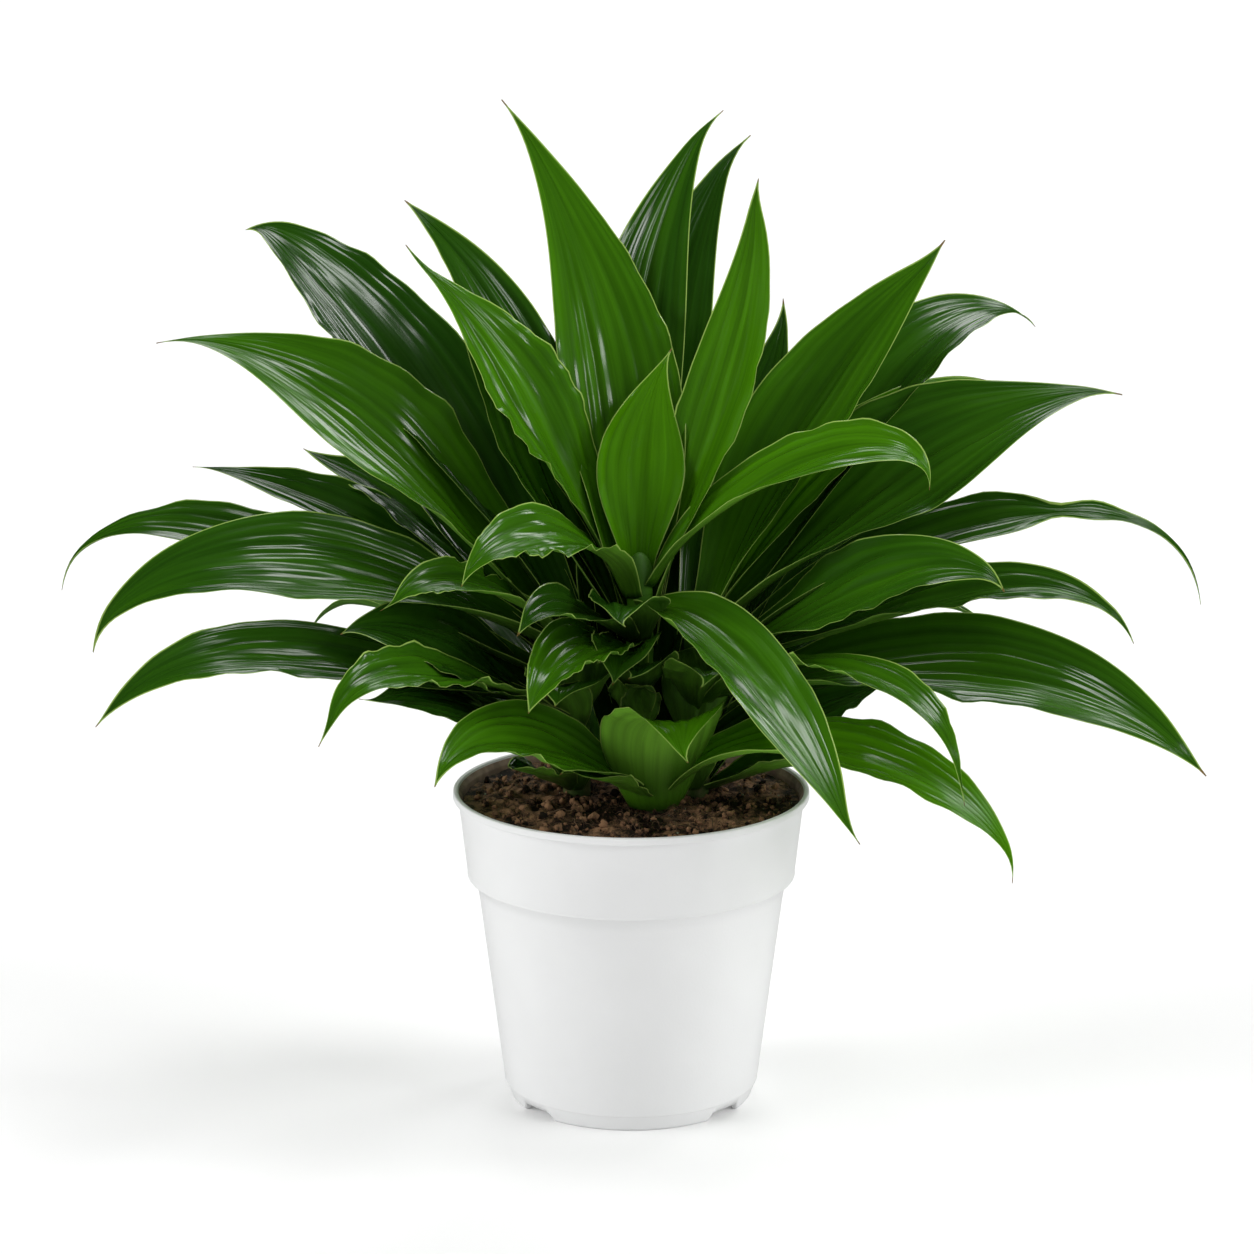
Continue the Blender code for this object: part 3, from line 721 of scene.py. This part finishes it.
# Every leaf: turn, root, rise, reach, tip, dip, sway, width, roll, tone, and shape where it differs.
# turn is its heading in degrees, root and tip are heights in mm, rise and dip its slopes at both
# ends, reach how far its tip is from the stem, sway its sideways bend, roll a turn about its own
# midrib, tone its age from 0 (old, dark) to 1 (young, light). The shape may give peak (smaller is
# widest nearer the stem), taper (larger is a longer, thinner tip), near and far (how long it keeps
# its slope at the stem and at the tip), sheath and sunk (how it clasps the stem), bend (smaller is
# an earlier sway), wavy (more and deeper ripples), tail (the least width) and pinched (where it is
# narrow).
leaves = {
    "shoot_centre": [
        (101, 232, 82, 112, 467, 60, 45, 56, -4, 0.52, {"peak": 0.76, "taper": 1.4, "wavy": 1}),
        (99, 226, 69, 116.5, 461, 50, -57, 46, -8, 0.25, {"wavy": 1}),
        (88, 218, 67, 124, 449, 60, -47, 50, 0, 0.10, {}),
        (26, 236, 72, 62, 437, 98, 6, 34, 40, 0.62, {"far": 0.25}),
        (98, 250, 86, 28, 357, 75, -19, 42, 0, 1.00, {"taper": 1.5}),
        (170, 242, 65, 114, 405, 34, 0, 44, -42, 0.54, {"taper": 1.6, "wavy": 2, "tail": 0.12}),
        (150, 222, 60, 122, 425, 36, 14, 42, -30, 0.20, {"taper": 1.1, "wavy": 2}),
        (137, 234, 64, 104, 410, 60, 26, 36, -24, 0.25, {"wavy": 2}),
        (166, 222, 58, 98, 388, 45, 6, 44, -40, 0.35, {}),
        (-10, 248, 66, 139, 300, -80, 0, 36, 30, 0.62, {}),
        (222, 243, 72, 110, 265, -60, 0, 36, -25, 0.45, {"wavy": 3}),
        (-58, 238, 12, 180, 166, -48, 0, 46, 0, 0.45, {"near": 0.3, "far": 0.3, "peak": 0.8}),
        (237, 205, 70, 94, 206, -60, 0, 40, -10, 0.50, {"wavy": 3}),
        (228, 222, 34, 84, 240, -40, 0, 36, -15, 0.15, {}),
        (258, 214, 58, 56, 214, -60, 0, 32, 0, 0.30, {}),
        (-100, 222, 70, 60, 242, -50, 0, 38, 0, 0.10, {}),
        (-92, 196, 60, 48, 214, -50, 0, 38, 0, 0.10, {}),
        (-86, 176, 76, 22, 204, 20, 0, 20, 0, 0.20, {"sheath": 0.3}),
        (246, 180, 76, 22, 206, 20, 0, 24, 0, 0.20, {}),
        (104, 215, 60, 118, 345, -5, 0, 58, 0, 0.10, {}),
        (83, 208, 55, 112, 315, -20, 0, 54, 0, 0.10, {"sheath": 0.95}),
        (112, 205, 52, 115, 300, -30, 0, 54, 0, 0.10, {"sheath": 0.95}),
        (101, 151, 72, 44, 238, 30, 0, 40, 0, 0.10, {"sheath": 0.8}),
        (107, 188, 68, 66, 288, 20, 0, 48, 0, 0.10, {"sheath": 0.8}),
    ],
    "shoot_left": [
        (144, 229, 55, 199, 402, -13, 0, 62, -18, 0.12, {"far": 0.14}),
        (170, 217, 54, 202, 361, -4, 0, 62, -36, 0.50, {"taper": 1.5, "tail": 0.06}),
        (160, 205, 41, 200, 293, 3, 0, 38, -20, 0.15, {}),
        (150, 210, 45, 157, 298, 10, 0, 38, -20, 0.15, {}),
        (133, 198, 45, 150, 280, -30, 0, 50, 0, 0.10, {}),
        (175, 200, 23, 251, 244, -62, 0, 40, -20, 0.25, {"tail": 0.22}),
        (192, 215, 33, 233, 231, -57, 0, 53, -38, 0.25, {"taper": 1.5, "tail": 0.06}),
        (200, 188, 16, 234, 201, -50, 0, 38, -35, 0.20, {}),
        (222, 182, 33, 152, 197, -80, 0, 32, -20, 0.40, {"far": 0.4, "wavy": 1}),
        (212, 222, 50, 102, 248, -60, 0, 27, -25, 0.40, {"wavy": 3}),
        (204, 180, 34, 120, 240, 0, 0, 62, -30, 0.15, {}),
        (214, 168, 26, 118, 208, -5, 0, 48, -20, 0.15, {}),
        (262, 186, 60, 60, 205, -50, 0, 40, 0, 0.25, {}),
        (280, 192, 82, 18, 226, 20, 0, 32, 0, 0.25, {"sheath": 0.3}),
        (244, 176, 64, 40, 206, -30, 0, 32, 0, 0.20, {}),
        (122, 186, 40, 128, 215, -50, 0, 52, 0, 0.10, {}),
        (148, 182, 34, 158, 205, -55, 0, 50, 0, 0.10, {}),
        (230, 150, 34, 50, 170, 20, 0, 32, 0, 0.25, {}),
        (262, 150, 72, 30, 184, 20, 0, 30, 0, 0.20, {}),
        (140, 151, 50, 62, 190, 0, 0, 36, 0, 0.20, {}),
        (96, 150, 34, 58, 180, -10, 0, 44, 0, 0.10, {}),
    ],
    "shoot_right": [
        (31, 230, 68, 142, 401, 36, 0, 54, 25, 0.45, {}),
        (36, 214, 52, 212, 352, -34, 0, 56, 15, 0.25, {}),
        (67, 222, 74, 118, 368, 60, 0, 38, 0, 0.15, {"sheath": 0.7}),
        (27, 230, 56, 158, 336, 0, 0, 28, 30, 0.90, {}),
        (12, 224, 44, 208, 336, 2, 0, 70, 38, 0.30, {"taper": 1.5, "tail": 0.05}),
        (60, 200, 45, 132, 285, -30, 0, 52, 0, 0.10, {"sheath": 0.95}),
        (42, 194, 38, 165, 255, -40, 0, 50, 0, 0.10, {}),
        (3, 206, 48, 241, 237, -82, 0, 40, 25, 0.25,
         {"peak": 0.7, "taper": 3, "far": 0.36, "tail": 0.2, "pinched": 0.6}),
        (-26, 214, 20, 158, 266, -25, 0, 52, 35, 0.30, {}),
        (-12, 208, 19, 209, 232, -56, 0, 38, 25, 0.25, {"peak": 0.75, "taper": 1.5, "tail": 0.15}),
        (-18, 194, 17, 246, 176, -47, 0, 60, 30, 0.35, {}),
        (-45, 190, 50, 166, 174, -95, 0, 27, 0, 0.45, {"far": 0.42, "wavy": 2}),
        (0, 170, 28, 98, 205, 20, 0, 44, 25, 0.15, {}),
        (-84, 190, 66, 50, 214, -40, 0, 38, 0, 0.30, {}),
        (262, 172, 82, 20, 224, 20, 0, 32, 0, 0.20, {"sheath": 0.5}),
        (-30, 160, 44, 50, 174, -50, 0, 30, 0, 0.20, {}),
        (66, 182, 40, 122, 205, -50, 0, 48, 0, 0.10, {"sheath": 0.9}),
        (28, 180, 34, 170, 202, -55, 0, 50, 0, 0.10, {}),
        (-14, 149, 26, 80, 165, -10, 0, 34, 0, 0.30, {}),
        (252, 150, 76, 22, 182, 20, 0, 26, 0, 0.20, {}),
        (50, 151, 50, 62, 190, 0, 0, 36, 0, 0.20, {}),
    ],
    "shoot_front": [
        (-8, 150, 58, 176, 137, -62, -57, 50, 15, 0.80,
         {"near": 0.38, "sheath": 0.15, "sunk": 0.4, "bend": 1.5}),
        (192, 153, 34, 116, 183, -46, 57, 50, -20, 0.50, {"sheath": 0.15, "sunk": 0.4, "bend": 1.5}),
        (-76, 148, 89, 47, 182, -80, 0, 56, 0, 0.80,
         {"near": 0.95, "far": 0.6, "peak": 0.72, "sheath": 0.6}),
        (146, 150, 74, 27, 182, 30, 0, 26, 0, 0.50, {}),
        (206, 150, 44, 50, 174, 30, 0, 34, 0, 0.40, {"sheath": 0.3, "sunk": 0.4}),
    ],
}

blade = {
    # what a leaf has where its row gives nothing else
    "peak": 0.92,
    "taper": 1.25,
    "near": 0.40,
    "far": 0.34,
    "bend": 3,
    "sunk": 0.9,  # of the stem's radius: where a leaf begins
    "sheath": 0.42,  # half width at the stem, as a share of the widest
    "finest": 0.012,
    "wavy": 0,
    "tail": 0,
    "pinched": -1,  # nowhere
    # what all the leaves share, with lengths in mm
    "thickness": 0.5,
    "wave": 2.0,
    "ribSpacing": 6.2,
    "ribHeight": 0.42,
    "channel": 0.9,
    "fold": 0.7,
    "ripple": 1.5,
    "dent": 0.35,
    "dentSpacing": 34,
    "hook": 4.0,
    "hookStart": 0.9,  # the share of the length from which the tip hooks
    "pinch": 0.8,  # how much of its width a leaf loses where it is narrow
    "pinchSpread": 0.05,  # over what share of its length
    "along": 50,
    "across": 64,
    "alongSmall": 30,
    "acrossSmall": 30,
    "smallReach": 85,
    "dark": (0.013, 0.056, 0.003),
    "young": (0.054, 0.190, 0.001),
    "under": (0.17, 0.40, 0.035),
    "margin": (0.38, 0.56, 0.12),
    "dryTip": (0.20, 0.13, 0.04),
    # noise patterns: how often across, how often along, how far apart from leaf to leaf, detail
    "cloud": (5, 2.2, 37, 2),
    "streak": (46, 1.3, 19, 2),
    "vein": (150, 3, 11, 1),
    "groove": (19, 1.1, 53, 1),
    "seed": 40,
}


# A blade's middle surface over t (root to tip) and s (edge to edge). The midrib is a cubic Bezier
# curve in the upright plane of the leaf's heading, bent sideways by sway t^bend. Across it the blade
# is an arc that clasps the stem and opens outwards, with waves that grow towards the edges,
# lengthwise ribs that close up towards both ends, a channel along the midrib, broad soft folds and
# shallow dents. A leaf may keep a narrow tail, a least share of its width, and be pinched at one t.
# The last tenth of the midrib hooks to one side and down.
def bladeSurface(row, stem, t, s, random):
    turnDegrees, root, rise, reach, tip, dip, sway, width, roll, _, own = row
    shape = {**blade, **own}
    stemX, stemY, _, stemRadius = stem
    turn, rise, dip = radians(turnDegrees), radians(rise), radians(dip)
    start, end = np.array([stemRadius * shape["sunk"], root]), np.array([reach, tip])
    chord = np.linalg.norm(end - start)
    knee = start + chord * shape["near"] * np.array([cos(rise), sin(rise)])
    bow = end - chord * shape["far"] * np.array([cos(dip), sin(dip)])
    u = 1 - t
    curve = u**3 * start + 3 * t * u**2 * knee + 3 * t**2 * u * bow + t**3 * end
    slope = 3 * u**2 * (knee - start) + 6 * u * t * (bow - knee) + 3 * t**2 * (end - bow)
    heading = np.array([cos(turn), sin(turn), 0])
    sideways = np.array([-sin(turn), cos(turn), 0])
    upwards = np.array([0, 0, 1])
    midrib = np.array([stemX, stemY, 0]) + curve[:, :1] * heading + curve[:, 1:] * upwards
    bend = shape["bend"]
    midrib = midrib + sway * t**bend * sideways
    turning = bend * sway * t ** (bend - 1) * sideways
    tangent = unit(slope[:, :1] * heading + slope[:, 1:] * upwards + turning)
    level = unit(sideways - (tangent @ sideways)[:, None] * tangent)
    normal = np.cross(tangent, level)
    lean = radians(roll) * np.clip(t / 0.5, 0, 1)
    side = level * np.cos(lean) + normal * np.sin(lean)
    face = normal * np.cos(lean) - level * np.sin(lean)

    outline = np.sin(pi * np.clip(t, 0, 1) ** shape["peak"]) ** shape["taper"]
    outline = np.maximum(outline, shape["tail"] * (t > 0.5) * np.clip(u / 0.1, 0, 1) ** 0.8)
    narrow = np.exp(-(((t - shape["pinched"]) / blade["pinchSpread"]) ** 2))
    outline = outline * (1 - blade["pinch"] * narrow)
    sheath = shape["sheath"] * u**2.2
    half = width / 2 * np.maximum(outline + sheath * (1 - 0.3 * outline), blade["finest"])
    arc = (0.5 + 0.75 * u**3) * (1 - 0.5 * t**3)
    wave = blade["wave"] * np.sqrt(np.sin(pi * t)) * np.abs(s) ** 2.5
    wave = wave * np.sin(3.2 * pi * t + 0.13 * turnDegrees + 1.3 * np.sign(s))

    full = half / np.max(half)
    phases = random.uniform(0, 2 * pi, 8)
    ribs = max(3, round(width / blade["ribSpacing"]))
    drift = 0.06 * np.sin(2.2 * pi * t + phases[0]) + 0.05 * np.sin(3 * s + phases[1])
    rib = np.cos(pi * ribs * (s + drift * (1 - s**2)))
    uneven = 0.75 + 0.35 * np.sin(4.1 * s + phases[2] + 2 * t)
    relief = blade["ribHeight"] * rib * uneven * full**1.3 * (1 - s**8)
    channel = -blade["channel"] * np.exp(-((s / 0.085) ** 2)) * full**0.7
    fold = np.sin(2.3 * pi * s + phases[3] + 1.7 * np.sin(2.6 * pi * t + phases[4]))
    fold = blade["fold"] * fold * np.sin(pi * t) * full * (1 - 0.3 * s**2)
    dent = np.sin(1.7 * pi * s + phases[6] + 9 * t)
    dent = dent * np.sin(2 * pi * chord / blade["dentSpacing"] * t + phases[7])
    dent = blade["dent"] * dent * np.sin(pi * t) * full * (1 - s**4)
    turns = 2 * pi * (4.5 + shape["wavy"]) * t + phases[5] + 1.9 * np.sign(s)
    ripple = np.sin(turns + 0.9 * np.sin(turns + phases[0])) + 0.5 * np.sin(2.3 * turns + phases[1])
    ripple = ripple * (0.65 + 0.6 * np.sin(5.3 * t + phases[2] + np.sign(s)))
    ripple = ripple * np.abs(s) ** 4 * np.sin(pi * t) * full
    ripple = blade["ripple"] * (1 + shape["wavy"] * 0.2) * ripple
    hook = blade["hook"] * np.clip((t - blade["hookStart"]) / 0.1, 0, 1) ** 2
    midrib = midrib + hook * (np.sin(phases[3]) * side - (0.4 + 0.6 * np.cos(phases[4])) * face)
    out = half * np.sin(arc * s) / arc
    up = half * (1 - np.cos(arc * s)) / arc + wave + relief + channel + fold + dent + ripple
    points = midrib[:, None] + out[..., None] * side[:, None] + up[..., None] * face[:, None]
    return points, half, rib * full


# Normals of a grid of points: the cross product of its two directions
def gridNormals(points):
    along = np.gradient(points, axis=0)
    across = np.gradient(points, axis=1)
    return unit(np.cross(along, across))


# A closed thin leaf: the middle surface moved out to both faces by half the thickness, which thins
# to nothing at the edges
def bladeShell(row, stem, random):
    small = row[3] < blade["smallReach"]
    along = blade["alongSmall"] if small else blade["along"]
    across = blade["acrossSmall"] if small else blade["across"]
    t = (np.linspace(0, 1, along + 1) ** 0.92)[:, None]
    x = np.linspace(-1, 1, across + 1)
    s = (x * (1.2 - 0.2 * x**2))[None, :]
    points, half, rib = bladeSurface(row, stem, t, s, random)
    normals = gridNormals(points)
    thick = blade["thickness"] / 2 * np.sqrt(1 - s**12) * (1 - 0.6 * t)
    upper = points + normals * thick[..., None]
    lower = points - normals * thick[..., None]
    ring = np.concatenate([upper, lower[:, -2:0:-1]], axis=1)
    columns = ring.shape[1]

    # carries the values of the upper face round to the lower one
    def around(values):
        return np.concatenate([values, values[:, -2:0:-1]], axis=1)

    faces = gridFaces(along + 1, columns, closed=True)
    u = (s + 1) / 2 + 0 * t
    v = t + 0 * s
    rim = half * (1 - np.abs(s))
    underside = np.concatenate([0 * u, 1 + 0 * u[:, -2:0:-1]], axis=1)
    values = {"rim": around(rim), "rib": around(rib + 0 * u), "underside": underside}
    uv = np.stack([around(u), around(v)], axis=-1)

    # both ends are closed by strips from the upper to the lower face
    capFaces, capTriangles = [], []
    upperRow = np.arange(across + 1)
    lowerRow = np.concatenate([[0], np.arange(columns - 1, across, -1), [across]])
    for last in (False, True):
        base = along * columns if last else 0
        a, b = base + upperRow[:-1], base + lowerRow[:-1]
        c, d = base + lowerRow[1:], base + upperRow[1:]
        quads = np.stack([a, b, c, d] if last else [d, c, b, a], axis=1)[1:-1]
        capFaces.append(quads)
        first = (a[0], c[0], d[0]) if last else (d[0], c[0], a[0])
        final = (a[-1], b[-1], d[-1]) if last else (d[-1], b[-1], a[-1])
        capTriangles += [first, final]
    faces = np.concatenate([faces, *capFaces])
    points, triangles = ring.reshape(-1, 3) * millimetre, np.array(capTriangles)
    return points, faces, triangles, values, uv.reshape(-1, 2)


# All the leaves of a group in one piece, each with its own tone and seed
def makeLeaves(name, node, chosen, finish, slot):
    parts = {"points": [], "quads": [], "triangles": [], "uv": []}
    values = {"rim": [], "rib": [], "underside": [], "tone": [], "seed": []}
    start = 0
    for number in chosen:
        row = leaves[node][number]
        random = np.random.default_rng(blade["seed"] + 100 * list(stems).index(node) + number)
        points, quads, triangles, own, uv = bladeShell(row, stems[node], random)
        parts["points"].append(points)
        parts["quads"].append(quads + start)
        parts["triangles"].append(triangles + start)
        parts["uv"].append(uv)
        for key, value in own.items():
            values[key].append(value.ravel())
        values["tone"].append(np.full(len(points), row[9]))
        values["seed"].append(np.full(len(points), random.uniform(0, 1)))
        start += len(points)
    joined = {key: np.concatenate(value) for key, value in values.items()}
    points, uv = np.concatenate(parts["points"]), np.concatenate(parts["uv"])
    groups = [np.concatenate(parts["quads"]), np.concatenate(parts["triangles"])]
    piece = makePiece(name, points, groups, finish, joined, uv)
    place(piece, slot, node)


# Waxy leaf: green by age, lengthwise grooves, streaks and veins, painted shade in the valleys between the
# ribs and in the grooves, a lighter, duller underside with painted shade towards the stem, a young base, a
# pale margin line and a dry tip
def leafSkin():
    finish = Finish("leafSkin", Metallic=0.0)
    u, v, _ = finish.uv()
    tone, seed = finish.attribute("tone"), finish.attribute("seed")
    rim, rib = finish.attribute("rim"), finish.attribute("rib")
    underside = finish.attribute("underside")

    def pattern(across, along, apart, detail):
        return finish.noise(finish.vector(u * across, v * along, seed * apart), 1.0, detail)

    cloud, streak = pattern(*blade["cloud"]), pattern(*blade["streak"])
    vein, groove = pattern(*blade["vein"]), pattern(*blade["groove"])
    base = finish.mix((tone + cloud * 0.5 - 0.25).step(0.0, 1.0), blade["dark"], blade["young"])
    base = finish.mix(underside * (0.25 + tone * 0.62), base, blade["under"])
    # painted shade: darker where the grooves and the rib valleys are low; clouds, streaks and veins are
    # the leaf's own mottle
    shade = 0.33 + cloud * 0.25 + groove * 0.5 + streak * 0.32 + vein * 0.30 + rib * 0.12
    # painted shade: the underside darkens towards the stem
    base = finish.scaled(base, shade * (1 - v.step(0.30, 0.0) * underside * 0.75))
    young = tuple(1.25 * c for c in blade["young"])
    base = finish.mix(v.step(0.22, 0.0) * (tone * 0.5), base, young)
    margin = rim.step(0.75, 0.30)
    base = finish.mix(margin * 0.75, base, blade["margin"])
    dryTip = (v + seed * 0.02).step(0.992, 1.004)
    base = finish.mix(dryTip, base, blade["dryTip"])
    finish.feed("Base Color", base)
    finish.feed("Roughness", 0.13 + cloud * 0.12 + underside * 0.2)
    finish.bump(groove + streak * 0.15, 0.0004, 1.0)
    return finish.material


stemForm = {
    "around": 40,
    "rows": 90,
    "ring": 7.0,  # mm from one leaf scar to the next
    "ringHeight": 0.5,
    "sink": 60,  # mm below the soil's level
    "taper": 0.8,  # radius at the top, as a share of that at the foot
    "within": 0.1,  # mm less than the plain stem's radius
    "bud": 12,  # mm, the growing point on the top
    "budRows": 12,
    "greenFrom": 15,  # mm above the soil where it begins to turn green
    "greenTo": 45,
    "bark": (0.035, 0.075, 0.012),
    "paleBark": (0.09, 0.10, 0.035),
    "green": (0.040, 0.135, 0.004),
}


# A stem turned about its own axis: its radius tapers evenly upwards, with a low ring like a saw's
# tooth where each fallen leaf was, and the bud on top shrinks by cos a while it grows by sin a
def makeStem(node, finish):
    x, y, top, radius = stems[node]
    level = soil["level"] * 1000
    foot = level - stemForm["sink"]
    upwards = np.linspace(0, 1, stemForm["rows"])
    bend = np.linspace(0, 0.48 * pi, stemForm["budRows"] + 1)[1:]
    budHeight = top + stemForm["bud"] * np.sin(bend)
    height = np.concatenate([foot + (top - foot) * upwards, budHeight])[:, None]
    shrink = np.concatenate([1 + 0 * upwards, np.cos(bend)])[:, None]
    share = np.concatenate([upwards, 1 + 0 * bend])[:, None]
    around = np.linspace(0, 2 * pi, stemForm["around"] + 1)[None, :-1]
    ring = (height / stemForm["ring"] + 0.08 * np.sin(around)) % 1
    bare = smoothStep(height, level - 2, level + 4)
    bare = bare * smoothStep(height, top, top - 6)
    r = radius * (1 - (1 - stemForm["taper"]) * share) - stemForm["within"]
    r = (r + stemForm["ringHeight"] * bare * (ring**3 - 0.6)) * shrink
    points = np.stack([x + r * np.cos(around), y + r * np.sin(around), height + 0 * r], axis=-1)
    rows, columns = points.shape[:2]
    faces = gridFaces(rows, columns, closed=True)[:, ::-1]
    low = np.arange(columns)[::-1][None, :]
    high = (rows - 1) * columns + np.arange(columns)[None, :]
    uv = np.stack([(around / (2 * pi) + 0 * r).ravel(), (share + 0 * r).ravel()], axis=1)
    green = smoothStep(height, level + stemForm["greenFrom"], level + stemForm["greenTo"])
    values = {"ring": (ring * bare + 0 * r).ravel(), "green": (green + 0 * r).ravel()}
    name = "stem" + node.split("_")[1].capitalize()
    points = points.reshape(-1, 3) * millimetre
    piece = makePiece(name, points, [faces, low, high], finish, values, uv)
    place(piece, "leaf", node)


# Stem bark: brown-green below and green above, darker at the rings
def stemBark():
    finish = Finish("stemBark", Metallic=0.0)
    ring = finish.attribute("ring")
    spots = finish.noise(finish.place(), 260, 3)
    base = finish.mix(spots.step(0.35, 0.7), stemForm["bark"], stemForm["paleBark"])
    base = finish.mix(finish.attribute("green"), base, stemForm["green"])
    base = finish.scaled(base, 1 - ring.step(0.75, 1.0) * 0.5)
    finish.feed("Base Color", base)
    finish.feed("Roughness", 0.5 + spots * 0.2)
    finish.bump(spots, 0.0003, 0.6)
    return finish.material


bark = stemBark()
for node in stems:
    makeStem(node, bark)
print("stems ready")

skin = leafSkin()
groups = {
    "leavesCentreYoung": ("shoot_centre", range(0, 9), "young_leaf"),
    "leavesCentreOuter": ("shoot_centre", range(9, 24), "young_leaf"),
    "leavesLeftUpper": ("shoot_left", range(0, 10), "leaf"),
    "leavesLeftLower": ("shoot_left", range(10, 21), "leaf"),
    "leavesRightUpper": ("shoot_right", range(0, 10), "leaf"),
    "leavesRightLower": ("shoot_right", range(10, 21), "leaf"),
    "leavesFront": ("shoot_front", range(0, 5), "leaf"),
}
for name, (node, chosen, slot) in groups.items():
    makeLeaves(name, node, chosen, skin, slot)
print("leaves ready")
